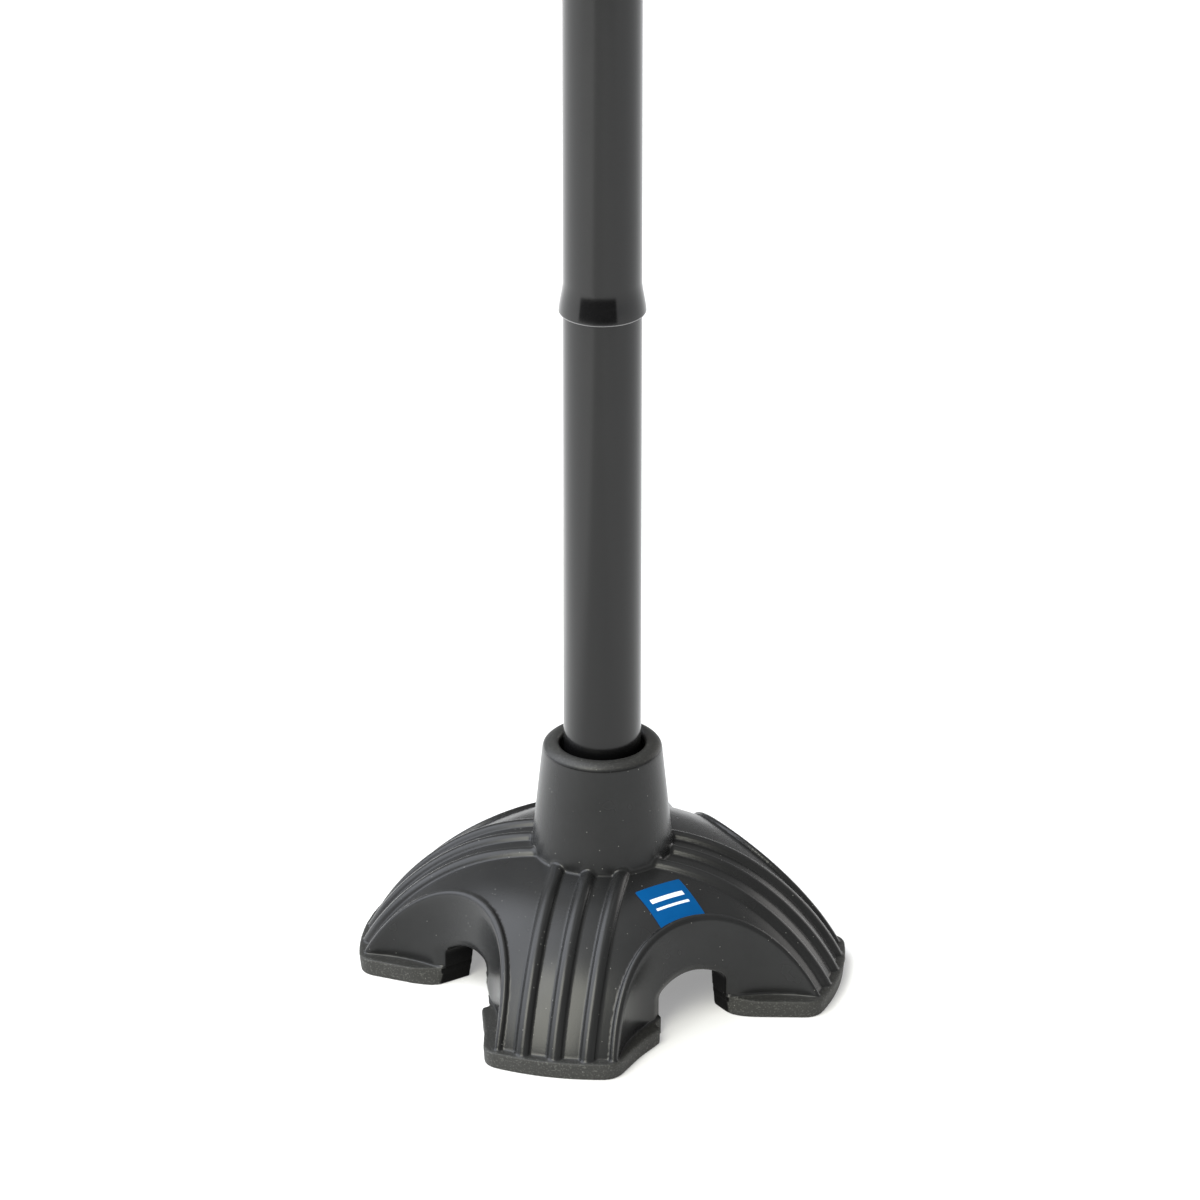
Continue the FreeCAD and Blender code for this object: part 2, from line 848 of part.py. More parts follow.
# round sections of the bar from nose to tail, as distance along X and radius
BAR_SECTIONS = [
    (-mm.nose_reach, mm.nose_radius * 0.4),
    (mm.nose_round * 0.3 - mm.nose_reach, mm.nose_radius * 0.76),
    (mm.nose_round - mm.nose_reach, mm.nose_radius),
    (mm.nose_taper - mm.nose_reach, mm.bar_radius * 0.985),
    (mm.bar_crest, mm.bar_radius),
    (mm.tail_reach - mm.tail_taper, mm.tail_radius),
    (mm.tail_reach - mm.tail_round, mm.tail_radius * 0.92),
    (mm.tail_reach - mm.tail_round * 0.3, mm.tail_radius * 0.71),
    (mm.tail_reach, mm.tail_radius * 0.38),
]


def handle_grip():
    """Derby handle: a round bar along X, thinner at both ends, on a short neck."""
    body = new_body("handle_grip")
    rings = []
    for i, (along, radius) in enumerate(BAR_SECTIONS):
        past_crest = along - mm.bar_crest
        level = mm.bar_level - past_crest * past_crest / (mm.bar_arch * 2)
        ring = new_sketch(body, "YZ_Plane", f"section_{i}")
        ring.AttachmentOffset = Placement(Vector(0, 0, along.number), Rotation())
        ring.setExpression("AttachmentOffset.Base.z", along.formula)
        draw_circle(ring, level, radius)
        rings.append(ring)
    bar = body.newObject("PartDesign::AdditiveLoft", "bar_loft")
    bar.Profile = rings[0]
    bar.Sections = rings[1:]
    bar.Ruled = False
    neck = new_sketch(body, "XZ_Plane", "neck")
    draw_outline(
        neck,
        [
            (0, HANDLE_FOOT),
            (mm.neck_radius - mm.neck_edge, HANDLE_FOOT),
            (mm.neck_radius, HANDLE_FOOT + mm.neck_edge),
            (mm.neck_top_radius, HANDLE_FOOT + mm.neck_height),
            (0, HANDLE_FOOT + mm.neck_height),
        ],
    )
    turn = body.newObject("PartDesign::Revolution", "neck_turn")
    turn.Profile = neck
    turn.ReferenceAxis = (neck, ["V_Axis"])
    turn.Angle = 360
    doc.recompute()
    solid = body.Shape.Volume
    bore = new_sketch(body, "XZ_Plane", "bore")
    draw_outline(
        bore,
        [
            (0, HANDLE_FOOT - mm.overcut),
            (mm.adjust_radius, HANDLE_FOOT - mm.overcut),
            (mm.adjust_radius, ADJUST_TOP),
            (mm.screw_radius, ADJUST_TOP),
            (mm.screw_radius, ADJUST_TOP + mm.screw_reach),
            (0, ADJUST_TOP + mm.screw_reach),
        ],
    )
    groove = body.newObject("PartDesign::Groove", "tube_bore")
    groove.Profile = bore
    groove.ReferenceAxis = (bore, ["V_Axis"])
    groove.Angle = 360
    doc.recompute()
    if body.Shape.Volume > solid - 1000:
        raise RuntimeError("the handle's bore cut nothing")
    keep(body, "handle_grip")


def handle_parts():
    trim = turned(
        "handle_trim_ring",
        [
            (mm.adjust_radius, 0),
            (mm.trim_radius - mm.trim_edge, 0),
            (mm.trim_radius, mm.trim_edge),
            (mm.trim_radius, mm.trim_height - mm.trim_edge),
            (mm.trim_radius - mm.trim_edge, mm.trim_height),
            (mm.adjust_radius, mm.trim_height),
        ],
        mm.trim_level,
    )
    keep(trim, "handle_trim_ring")
    plug_height = ADJUST_TOP - mm.plug_level
    plug = turned(
        "handle_plug", ring_corners(mm.screw_radius, mm.plug_radius, plug_height), mm.plug_level
    )
    keep(plug, "handle_plug")
    head = mm.screw_head_height
    screw = turned(
        "handle_screw",
        [
            (0, 0),
            (mm.screw_head_radius - mm.screw_head_edge, 0),
            (mm.screw_head_radius, head),
            (mm.screw_radius, head),
            (mm.screw_radius, head + plug_height + mm.screw_reach - mm.screw_tip),
            (0, head + plug_height + mm.screw_reach),
        ],
        mm.plug_level - head,
    )
    keep(screw, "handle_screw")


# ---------------------------------------------------------------- build, check, write

quad_base()
base_label()
tip_washer()
lower_tube()
sections()
cord_parts()
adjust_tube()
guide_bushing()
snap_button()
button_spring()
collar_parts()
handle_grip()
handle_parts()
doc.recompute()

for item in doc.Objects:
    if "Invalid" in item.State or "Error" in item.State:
        raise RuntimeError(f"{item.Name} failed: {item.State}")

os.makedirs("parts", exist_ok=True)
for part in nodes:
    shape = part.Shape
    if shape.isNull() or not shape.isValid():
        raise RuntimeError(f"{part.Label} has a bad shape")
    if len(shape.Solids) != 1:
        raise RuntimeError(f"{part.Label} has {len(shape.Solids)} solids")
    shape.exportStep(f"parts/{part.Label}.step")
    box = shape.BoundBox
    print(f"{part.Label:20s} {shape.Volume:10.1f} mm3  z {box.ZMin:7.2f} to {box.ZMax:7.2f}")
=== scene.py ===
import json
import math

import bmesh
import bpy
import numpy as np
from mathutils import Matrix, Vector


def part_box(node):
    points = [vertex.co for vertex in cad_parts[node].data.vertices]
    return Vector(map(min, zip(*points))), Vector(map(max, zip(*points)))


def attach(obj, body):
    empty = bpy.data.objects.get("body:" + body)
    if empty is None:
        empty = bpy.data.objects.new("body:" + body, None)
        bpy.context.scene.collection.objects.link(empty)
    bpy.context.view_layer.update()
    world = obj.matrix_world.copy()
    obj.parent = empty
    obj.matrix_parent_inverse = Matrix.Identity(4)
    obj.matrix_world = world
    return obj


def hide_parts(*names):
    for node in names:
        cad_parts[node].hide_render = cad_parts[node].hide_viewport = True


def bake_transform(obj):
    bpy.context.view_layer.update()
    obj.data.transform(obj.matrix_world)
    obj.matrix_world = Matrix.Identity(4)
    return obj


# Folding quad cane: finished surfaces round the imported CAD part.
# Shapes are worked out in millimetres, in the CAD frame, and MM turns them into metres.

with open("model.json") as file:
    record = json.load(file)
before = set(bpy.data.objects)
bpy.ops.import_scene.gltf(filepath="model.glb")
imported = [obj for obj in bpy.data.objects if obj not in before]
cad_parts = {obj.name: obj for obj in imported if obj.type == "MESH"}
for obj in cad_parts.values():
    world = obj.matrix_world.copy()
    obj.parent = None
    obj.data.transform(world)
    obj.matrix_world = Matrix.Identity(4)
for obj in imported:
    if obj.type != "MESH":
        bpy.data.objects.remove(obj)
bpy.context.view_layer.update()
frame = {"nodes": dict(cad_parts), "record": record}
MM = 0.001
NODES = frame["nodes"]


def low(node):
    """Lowest corner of a CAD node, in millimetres."""
    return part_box(node)[0] / MM


def high(node):
    """Highest corner of a CAD node, in millimetres."""
    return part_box(node)[1] / MM


# ------------------------------------------------------------------ materials


class Shader:
    """A Principled material and short calls for the procedural nodes that feed it."""

    def __init__(self, name, colour, roughness, metallic=0.0, ior=1.5):
        self.material = bpy.data.materials.new(name)
        self.material.use_nodes = True
        self.tree = self.material.node_tree
        self.surface = self.tree.nodes["Principled BSDF"]
        self.surface.inputs["Base Color"].default_value = (*colour, 1)
        self.surface.inputs["Roughness"].default_value = roughness
        self.surface.inputs["Metallic"].default_value = metallic
        self.surface.inputs["IOR"].default_value = ior
        self.place = self.node("ShaderNodeTexCoord").outputs["Object"]

    def node(self, kind, **settings):
        made = self.tree.nodes.new(kind)
        for key, value in settings.items():
            setattr(made, key, value)
        return made

    def link(self, source, target):
        self.tree.links.new(source, target)

    def noise(self, grain, detail=2.0, stretch=(1, 1, 1)):
        """Noise whose features are about grain millimetres wide."""
        scaled = self.node("ShaderNodeMapping")
        scaled.inputs["Scale"].default_value = stretch
        self.link(self.place, scaled.inputs["Vector"])
        made = self.node("ShaderNodeTexNoise")
        made.inputs["Scale"].default_value = 1.0 / (grain * MM)
        made.inputs["Detail"].default_value = detail
        self.link(scaled.outputs["Vector"], made.inputs["Vector"])
        return made.outputs["Fac"]

    def specks(self, spacing, size):
        """1 on scattered dots about size across, spacing apart, in millimetres."""
        made = self.node("ShaderNodeTexVoronoi")
        made.inputs["Scale"].default_value = 1.0 / (spacing * MM)
        self.link(self.place, made.inputs["Vector"])
        edge = size / spacing / 2
        return self.ramp(made.outputs["Distance"], edge, edge * 0.6)

    def ramp(self, value, start, end):
        """0 before start, 1 after end, smooth between; start above end turns it round."""
        made = self.node("ShaderNodeMapRange", interpolation_type="SMOOTHSTEP")
        lows = (start, end, 0.0, 1.0) if start < end else (end, start, 1.0, 0.0)
        for socket, number in zip(made.inputs[1:5], lows):
            socket.default_value = number
        self.link(value, made.inputs["Value"])
        return made.outputs["Result"]

    def math(self, kind, first, second):
        made = self.node("ShaderNodeMath", operation=kind, use_clamp=False)
        for socket, value in zip(made.inputs, (first, second)):
            if isinstance(value, (int, float)):
                socket.default_value = value
            else:
                self.link(value, socket)
        return made.outputs["Value"]

    def height(self):
        """Height above the floor, in millimetres."""
        split = self.node("ShaderNodeSeparateXYZ")
        self.link(self.place, split.inputs["Vector"])
        return self.math("MULTIPLY", split.outputs["Z"], 1.0 / MM)

    def mix(self, share, first, second):
        """A colour between two colours, or between a socket and a colour."""
        made = self.node("ShaderNodeMix", data_type="RGBA")
        self.link(share, made.inputs["Factor"])
        for name, colour in (("A", first), ("B", second)):
            socket = next(s for s in made.inputs if s.name == name and s.type == "RGBA")
            if isinstance(colour, tuple):
                socket.default_value = (*colour, 1)
            else:
                self.link(colour, socket)
        return next(s for s in made.outputs if s.type == "RGBA")

    def between(self, share, first, second):
        """A number between two numbers."""
        made = self.node("ShaderNodeMapRange")
        made.inputs["To Min"].default_value = first
        made.inputs["To Max"].default_value = second
        self.link(share, made.inputs["Value"])
        return made.outputs["Result"]

    def colour(self, socket):
        self.link(socket, self.surface.inputs["Base Color"])

    def roughness(self, socket):
        self.link(socket, self.surface.inputs["Roughness"])

    def bump(self, socket, depth):
        """Relief of that many millimetres."""
        made = self.node("ShaderNodeBump")
        made.inputs["Distance"].default_value = depth * MM
        self.link(socket, made.inputs["Height"])
        self.link(made.outputs["Normal"], self.surface.inputs["Normal"])


def rubber():
    """Moulded black rubber: soft sheen above, dusty and speckled on the sole and the socket's mouth, with
    painted shade on the slot sides.
    """
    made = Shader("tip_rubber", (0.03, 0.031, 0.032), 0.42, ior=1.34)
    cloud = made.ramp(made.noise(22.0, 3.0), 0.3, 0.7)
    clean = made.mix(cloud, (0.0105, 0.0107, 0.011), (0.0145, 0.0148, 0.0152))
    grain = made.noise(0.5, 4.0)
    height = made.height()
    sole = made.ramp(height, SOLE_HEIGHT + 0.3, SOLE_HEIGHT - 0.3)
    mouth = made.ramp(height, SOCKET_LEVEL - 0.2, SOCKET_LEVEL + 0.3)
    worn = made.math("MAXIMUM", sole, made.math("MULTIPLY", mouth, 0.45))
    dust = made.ramp(grain, 0.52, 0.68)
    dusty = made.mix(dust, (0.03, 0.03, 0.028), (0.074, 0.074, 0.069))
    specks = made.specks(2.6, 0.34)
    body = made.mix(worn, clean, dusty)
    parting = made.math("ABSOLUTE", made.math("SUBTRACT", height, SOCKET_LEVEL - 0.5), 0.0)
    body = made.mix(made.ramp(parting, 0.16, 0.08), body, (0.003, 0.003, 0.003))
    # Painted shade: the slot sides are turned near-black and reflect less, standing in for the shadow
    # inside the slots.
    painted_slot_shade = slot_shade_mask(made, height)
    body = made.mix(painted_slot_shade, body, (0.002, 0.002, 0.002))
    made.link(made.between(painted_slot_shade, 0.5, 0.12), made.surface.inputs["Specular IOR Level"])
    made.colour(made.mix(made.math("MULTIPLY", specks, 0.5), body, (0.3, 0.3, 0.28)))
    smooth = made.between(made.noise(9.0, 2.0), 0.22, 0.3)
    rough = made.math("MULTIPLY", worn, 0.34)
    made.roughness(made.math("ADD", smooth, rough))
    relief = made.math("MULTIPLY", grain, made.between(worn, 0.12, 1.0))
    made.bump(relief, 0.12)
    return made.material


def slot_shade_mask(made, height):
    """1 on the sides of the slots between the feet, which get painted shade: near-black colour and weaker
    reflection.
    """
    split = made.node("ShaderNodeSeparateXYZ")
    made.link(made.place, split.inputs["Vector"])
    x = made.math("MULTIPLY", made.math("ABSOLUTE", split.outputs["X"], 0.0), 1.0 / MM)
    y = made.math("MULTIPLY", made.math("ABSOLUTE", split.outputs["Y"], 0.0), 1.0 / MM)
    aside = made.math("MULTIPLY", made.math("SUBTRACT", x, y), 1.0 / math.sqrt(2))
    across = made.math("SUBTRACT", ARCH_CENTRE, x)
    along = made.math("SUBTRACT", ARCH_CENTRE, y)
    across, along = (made.math("POWER", value, 2.0) for value in (across, along))
    arch = made.math("SQRT", made.math("ADD", across, along), 0.0)
    left = made.math("LESS_THAN", split.outputs["X"], 0.0)
    front = made.math("LESS_THAN", split.outputs["Y"], 0.0)
    by_hand = made.math("MULTIPLY", made.math("MULTIPLY", left, front), HAND_CUT)
    reach = made.math("ABSOLUTE", made.math("SUBTRACT", aside, NOTCH_SHIFT), 0.0)
    reach = made.math("SUBTRACT", reach, by_hand)
    inside = made.ramp(reach, NOTCH_HALF_WIDTH + 0.4, NOTCH_HALF_WIDTH + 0.25)
    low_down = made.ramp(height, NOTCH_CROWN + 0.4, NOTCH_CROWN)
    behind = made.ramp(arch, ARCH_RADIUS + BEVEL_DEPTH, ARCH_RADIUS + BEVEL_DEPTH + 0.3)
    under = made.ramp(height, SOLE_HEIGHT + 0.1, SOLE_HEIGHT - 0.2)
    within = made.math("MULTIPLY", inside, low_down)
    return made.math("MULTIPLY", within, made.math("MAXIMUM", behind, under))


def enamel():
    """Smooth near-black enamel with a faint orange peel and a few dust specks."""
    made = Shader("tube_enamel", (0.0105, 0.0105, 0.0112), 0.12, ior=1.42)
    specks = made.specks(9.0, 0.22)
    cloud = made.noise(14.0, 2.0)
    base = made.mix(cloud, (0.002, 0.002, 0.0022), (0.003, 0.003, 0.0032))
    made.colour(made.mix(made.math("MULTIPLY", specks, 0.45), base, (0.25, 0.25, 0.25)))
    made.roughness(made.between(made.noise(5.0, 3.0), 0.13, 0.19))
    made.bump(made.noise(1.6, 1.0), 0.0035)
    return made.material


def bare_metal(name, colour, roughness, grain=0.35):
    """Drawn or plated metal with fine lines round its axis."""
    made = Shader(name, colour, roughness, metallic=1.0)
    lines = made.noise(grain * 6, 3.0, stretch=(1, 1, 14))
    made.colour(made.mix(lines, tuple(c * 0.86 for c in colour), colour))
    made.roughness(made.between(lines, roughness * 0.8, roughness * 1.25))
    made.bump(lines, 0.006)
    return made.material


def plastic(name, colour, roughness, grain=0.6):
    """Moulded plastic with a fine spark-eroded texture."""
    made = Shader(name, colour, roughness)
    texture = made.noise(grain, 3.0)
    cloud = made.noise(18.0, 2.0)
    made.colour(made.mix(cloud, tuple(c * 0.85 for c in colour), tuple(c * 1.15 for c in colour)))
    made.roughness(made.between(cloud, roughness * 0.85, roughness * 1.15))
    made.bump(texture, 0.02)
    return made.material


def braid():
    """Black braided cover of the elastic cord."""
    made = Shader("cord_braid", (0.02, 0.02, 0.02), 0.75)
    wave = made.node("ShaderNodeTexWave", wave_type="BANDS", bands_direction="DIAGONAL")
    wave.inputs["Scale"].default_value = 260.0
    wave.inputs["Distortion"].default_value = 1.5
    made.link(made.place, wave.inputs["Vector"])
    made.colour(made.mix(wave.outputs["Fac"], (0.012, 0.012, 0.012), (0.05, 0.05, 0.052)))
    made.bump(wave.outputs["Fac"], 0.15)
    return made.material


def label_film():
    """Plain blue film with two white bars across it."""
    bars_end, wide_bar, narrow_bar = 5.5, (33.4, 0.75), (36.4, 0.4)
    made = Shader("label_film", (0.0, 0.058, 0.188), 0.45, ior=1.15)
    turned_place = made.node("ShaderNodeVectorRotate", rotation_type="Z_AXIS")
    turned_place.inputs["Angle"].default_value = math.radians(45)
    made.link(made.place, turned_place.inputs["Vector"])
    split = made.node("ShaderNodeSeparateXYZ")
    made.link(turned_place.outputs["Vector"], split.inputs["Vector"])
    along = made.math("MULTIPLY", split.outputs["X"], 1.0 / MM)
    across = made.math("MULTIPLY", split.outputs["Y"], 1.0 / MM)
    side = made.ramp(made.math("ABSOLUTE", across, 0.0), bars_end + 0.1, bars_end - 0.1)
    bars = None
    for middle, half in (wide_bar, narrow_bar):
        distance = made.math("ABSOLUTE", made.math("SUBTRACT", along, middle), 0.0)
        bar = made.ramp(distance, half + 0.08, half - 0.08)
        bars = bar if bars is None else made.math("MAXIMUM", bars, bar)
    white = made.math("MULTIPLY", bars, side)
    film = made.mix(made.noise(3.0, 2.0), (0.0, 0.054, 0.177), (0.0, 0.062, 0.2))
    made.colour(made.mix(white, film, (0.72, 0.76, 0.8)))
    made.roughness(made.between(made.noise(6.0, 2.0), 0.4, 0.5))
    return made.material


# ------------------------------------------------------------------ mesh helpers


def add_piece(name, mesh, body, material, replaced):
    """Links a finished mesh as a piece that rides on a body and stands for CAD nodes."""
    mesh.materials.append(material)
    piece = bpy.data.objects.new(name, mesh)
    bpy.context.scene.collection.objects.link(piece)
    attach(piece, body)
    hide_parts(*replaced)
    return piece


def rounded(outline, radius, steps=4):
    """The closed outline with each corner turned into a small arc."""
    points = [Vector(p) for p in outline]
    count = len(points)
    made = []
    for i, corner in enumerate(points):
        before = points[i - 1] - corner
        after = points[(i + 1) % count] - corner
        reach = min(radius, before.length * 0.45, after.length * 0.45)
        start = corner + before.normalized() * reach
        end = corner + after.normalized() * reach
        for step in range(steps + 1):
            t = step / steps
            made.append(start * (1 - t) ** 2 + corner * (2 * t * (1 - t)) + end * t**2)
    return made


SIDES = 128


def lathe(name, outline, closed=True, sides=SIDES, ripple=None):
    """A mesh turned about Z from (radius, height) points in millimetres.

    ripple(angle, radius, height) may change the radius, for knurls and flutes.
    """
    shape = bmesh.new()
    rings = []
    for radius, height in outline:
        ring = []
        for i in range(sides):
            angle = 2 * math.pi * i / sides
            reach = ripple(angle, radius, height) if ripple else radius
            ring.append(
                shape.verts.new(
                    (reach * math.cos(angle) * MM, reach * math.sin(angle) * MM, height * MM)
                )
            )
        rings.append(ring)
    pairs = list(zip(rings, rings[1:]))
    if closed:
        pairs.append((rings[-1], rings[0]))
    for lower, upper in pairs:
        for i in range(sides):
            j = (i + 1) % sides
            shape.faces.new((lower[i], lower[j], upper[j], upper[i]))
    bmesh.ops.remove_doubles(shape, verts=shape.verts, dist=1e-8)
    bmesh.ops.dissolve_degenerate(shape, edges=shape.edges, dist=1e-9)
    bmesh.ops.recalc_face_normals(shape, faces=shape.faces)
    mesh = bpy.data.meshes.new(name)
    shape.to_mesh(mesh)
    shape.free()
    mesh.shade_smooth()
    mesh.set_sharp_from_angle(angle=math.radians(50))
    return mesh


def soft_max(a, b, blend):
    """The larger of two fields, with a rounded edge about blend wide between them."""
    overlap = np.maximum(blend - np.abs(a - b), 0.0)
    return np.maximum(a, b) + overlap * overlap / (4 * blend)


def soft_min(a, b, blend):
    return -soft_max(-a, -b, blend)


def smooth_step(value, start, end):
    t = np.clip((value - start) / (end - start), 0.0, 1.0)
    return t * t * (3 - 2 * t)


CELL_CORNERS = [(i, j, k) for i in (0, 1) for j in (0, 1) for k in (0, 1)]
CELL_EDGES = [
    (a, b)
    for a in range(8)
    for b in range(a + 1, 8)
    if sum(abs(p - q) for p, q in zip(CELL_CORNERS[a], CELL_CORNERS[b])) == 1
]


def net_points(values, cells):
    """One point for each cell that the surface crosses: the mean of its edge crossings."""
    i, j, k = cells
    at = [values[i + a, j + b, k + c] for a, b, c in CELL_CORNERS]
    total = np.zeros((len(i), 3))
    count = np.zeros(len(i))
    for a, b in CELL_EDGES:
        crossed = (at[a] < 0) != (at[b] < 0)
        share = np.where(crossed, at[a] / np.where(crossed, at[a] - at[b], 1.0), 0.0)
        start = np.array(CELL_CORNERS[a], float)
        step = np.array(CELL_CORNERS[b], float) - start
        total += crossed[:, None] * (start + share[:, None] * step)
        count += crossed
    return np.stack(cells, 1) + total / count[:, None]


def net_faces(inside, index):
    """One quad round each grid edge that the surface crosses."""
    quads = []
    for axis in range(3):
        u, v = (axis + 1) % 3, (axis + 2) % 3
        first = np.moveaxis(inside, (axis, u, v), (0, 1, 2))
        cell = np.moveaxis(index, (axis, u, v), (0, 1, 2))
        here, there = first[:-1, 1:-1, 1:-1], first[1:, 1:-1, 1:-1]
        for leaving in (True, False):
            i, j, k = np.nonzero(here & ~there if leaving else ~here & there)
            around = [
                cell[i, j, k], cell[i, j + 1, k], cell[i, j + 1, k + 1], cell[i, j, k + 1]
            ]
            quads.append(np.stack(around if leaving else around[::-1], 1))
    return np.concatenate(quads)


def slopes(field, points):
    """The field's gradient at points, by small central steps."""
    step = 0.01
    columns = []
    for axis in range(3):
        shift = np.zeros(3)
        shift[axis] = step
        columns.append((field(*(points + shift).T) - field(*(points - shift).T)) / (2 * step))
    return np.stack(columns, 1)


def field_mesh(name, field, lowest, highest, grain):
    """Mesh of the surface where field(x, y, z) is 0, in millimetres; the field is negative inside."""
    axes = [np.arange(a, b + grain, grain) for a, b in zip(lowest, highest)]
    x, y, z = np.meshgrid(*axes, indexing="ij", sparse=True)
    values = field(x, y, z)
    inside = values < 0
    corners = [
        inside[a : inside.shape[0] - 1 + a, b : inside.shape[1] - 1 + b, c : inside.shape[2] - 1 + c]
        for a, b, c in CELL_CORNERS
    ]
    mixed = np.logical_or.reduce(corners) & ~np.logical_and.reduce(corners)
    cells = np.nonzero(mixed)
    index = np.full(mixed.shape, -1)
    index[cells] = np.arange(len(cells[0]))
    points = np.array(lowest) + net_points(values, cells) * grain
    quads = net_faces(inside, index)
    for _ in range(4):
        slope = slopes(field, points)
        steep = np.maximum((slope**2).sum(1), 1e-6)
        move = -(field(*points.T) / steep)[:, None] * slope
        size = np.linalg.norm(move, axis=1, keepdims=True)
        points += move * np.minimum(1.0, 0.4 * grain / np.maximum(size, 1e-9))
    mesh = bpy.data.meshes.new(name)
    mesh.from_pydata((points * MM).tolist(), [], quads.tolist())
    mesh.update()
    mesh.shade_smooth()
    return mesh


# ------------------------------------------------------------------ rubber tip

SOLE_RADIUS = min(high("quad_base").x, high("quad_base").y)
SOLE_HEIGHT = 5.2
SOLE_DRAFT = 0.6
SOLE_INSET = 0.04
SOLE_END = (48.4, 13.0)
SOLE_SPLAY = math.radians(34.8)
TRIMMED_SPLAY = math.radians(29.0)
MOUTH_LEVEL = high("quad_base").z
SOCKET_LEVEL = MOUTH_LEVEL - 1.5
SOCKET_RADIUS = 17.1
SOCKET_ROOT = (20.0, 42.8)
TUBE_RADIUS = high("lower_tube").x
SEAT_LEVEL = low("tip_washer").z
ARCH_CENTRE = 88.0 / math.sqrt(2)
ARCH_RADIUS = 44.5
ARCH_FLANGE = 2.8
LIP_WIDTH = 2.2
LIP_HALF_WIDTH = 1.3
LIP_HEIGHT = 1.15
RIB_HALF_WIDTH = 2.2
RIB_HEIGHT = 1.65
RIB_SPACING = 9.4
NOTCH_HALF_WIDTH = 11.2
NOTCH_SIDE = 12.0
NOTCH_CROWN = 15.7
NOTCH_SHIFT = 1.8
NOTCH_START = 30.0
HAND_CUT = 1.3
HAND_CUT_WALL = 2.2
BEVEL_WIDTH = 2.6
BEVEL_DEPTH = 1.0
SKIN = 4.5
FOOT_WALL = 8.6
FOOT_WALL_DRAFT = 1.4
BOSS_RADIUS = 18.5
BOSS_LEVEL = 20.0


def circle_centre(start, end, radius):
    """Centre of the circle through two profile points, on the side of the axis and the floor."""
    a, b = Vector(start), Vector(end)
    chord = b - a
    inward = Vector((chord.y, -chord.x)).normalized()
    if inward.y > 0:
        inward = -inward
    return (a + b) / 2 + inward * math.sqrt(radius**2 - (chord.length / 2) ** 2)


CROWN_EDGE = (19.7, 43.4)
SHOULDER = (50.0, 27.2)
DOME_FOOT = (SOLE_RADIUS - 2.4, SOLE_HEIGHT)
CROWN_CURVE = 85.0
SHOULDER_CURVE = 60.0
CROWN_CENTRE = circle_centre(CROWN_EDGE, SHOULDER, CROWN_CURVE)
SHOULDER_CENTRE = circle_centre(SHOULDER, DOME_FOOT, SHOULDER_CURVE)


def dome_field(radius, z):
    """The dome: a flatter arc round the socket that runs into a rounder one above the sole."""
    crown = np.hypot(radius - CROWN_CENTRE.x, z - CROWN_CENTRE.y) - CROWN_CURVE
    shoulder = np.hypot(radius - SHOULDER_CENTRE.x, z - SHOULDER_CENTRE.y) - SHOULDER_CURVE
    return soft_max(crown, shoulder, 2.0)


def socket_field(radius, z):
    """The cone that grips the tube, with a crowned top."""
    lean = (SOCKET_ROOT[0] - SOCKET_RADIUS) / (SOCKET_LEVEL - SOCKET_ROOT[1])
    side = (radius - SOCKET_RADIUS + (z - SOCKET_LEVEL) * lean) / math.hypot(1, lean)
    crest, outer_fall, inner_fall = 14.0, 3.1, 2.6
    fall = np.where(radius > crest, (radius - crest) / outer_fall, (crest - radius) / inner_fall)
    top = z - MOUTH_LEVEL + (MOUTH_LEVEL - SOCKET_LEVEL) * fall * fall
    return soft_max(soft_max(side, top, 0.8), BOSS_LEVEL - z, 1.0)


def bore_field(radius, z):
    """The tube's hole, which opens a little towards its mouth."""
    play, throat, flare_length = 0.05, MOUTH_LEVEL - 13.0, 11.0
    flare = np.clip((z - throat) / flare_length, 0.0, 1.2)
    return np.maximum(radius - (TUBE_RADIUS + play + flare), SEAT_LEVEL - z)


def slot_sides(x, y, z):
    """Distances past the slot's side on the X foot and past its side on the Y foot.

    The slot lies nearer to the X foot. The one between -X and -Y was trimmed by hand, raggedly.
    """
    by_hand = (x < 0) & (y < 0)
    aside = (np.abs(x) - np.abs(y)) / math.sqrt(2) - NOTCH_SHIFT
    ragged = 4.8 * smooth_step(z, 3.0, 8.0) + 0.2 * np.sin(2.3 * z) + 0.3 * np.sin(5.9 * z + 1.0)
    x_side = aside - NOTCH_HALF_WIDTH - np.where(by_hand, HAND_CUT, 0.0)
    y_side = -aside - NOTCH_HALF_WIDTH + np.where(by_hand, ragged, 0.0)
    return aside, x_side, y_side


def sole_field(x, y, z, arch, slot):
    """The sole: straight-sided, its flange wider and more sharply ended on the Y feet.

    The -Y foot is trimmed more on its side towards +X.
    """
    aside, x_side, y_side = slot
    taper = 1 - z / SOLE_HEIGHT
    side = np.hypot(x, y) - SOLE_RADIUS + SOLE_INSET + SOLE_DRAFT * taper
    wider = np.where(aside < 0, 1.2 * smooth_step(-aside, 26.0, 13.0), 0.0)
    fade = np.where(aside > 0, (2.4 - 1.8 * taper) * smooth_step(x_side, 6.0, 0.5), 0.0)
    spare = 3.4 * smooth_step(ARCH_RADIUS - arch, 0.0, 1.2)
    outward = (np.abs(x) + np.abs(y)) / math.sqrt(2) - SOLE_END[0]
    past_end = np.abs(aside + NOTCH_SHIFT) - SOLE_END[1]
    splay = np.where((x > 0) & (y < 0) & (aside < 0), TRIMMED_SPLAY, SOLE_SPLAY)
    edge = outward * np.cos(splay) - past_end * np.sin(splay)
    flange = edge + fade - wider + 0.3 * taper
    plan = soft_max(side, flange, 3.4)
    plan = np.minimum(soft_max(plan, -x_side, 3.2), soft_max(plan, spare - y_side, 0.9))
    return soft_max(soft_max(plan, z - SOLE_HEIGHT, 0.6), -z, 0.5)


def bead_field(aside, dome, half_width, height):
    """A round bead on the dome, by the distance aside from its middle line."""
    radius = (half_width**2 + height**2) / (2 * height)
    return np.hypot(aside, dome + radius - height) - radius


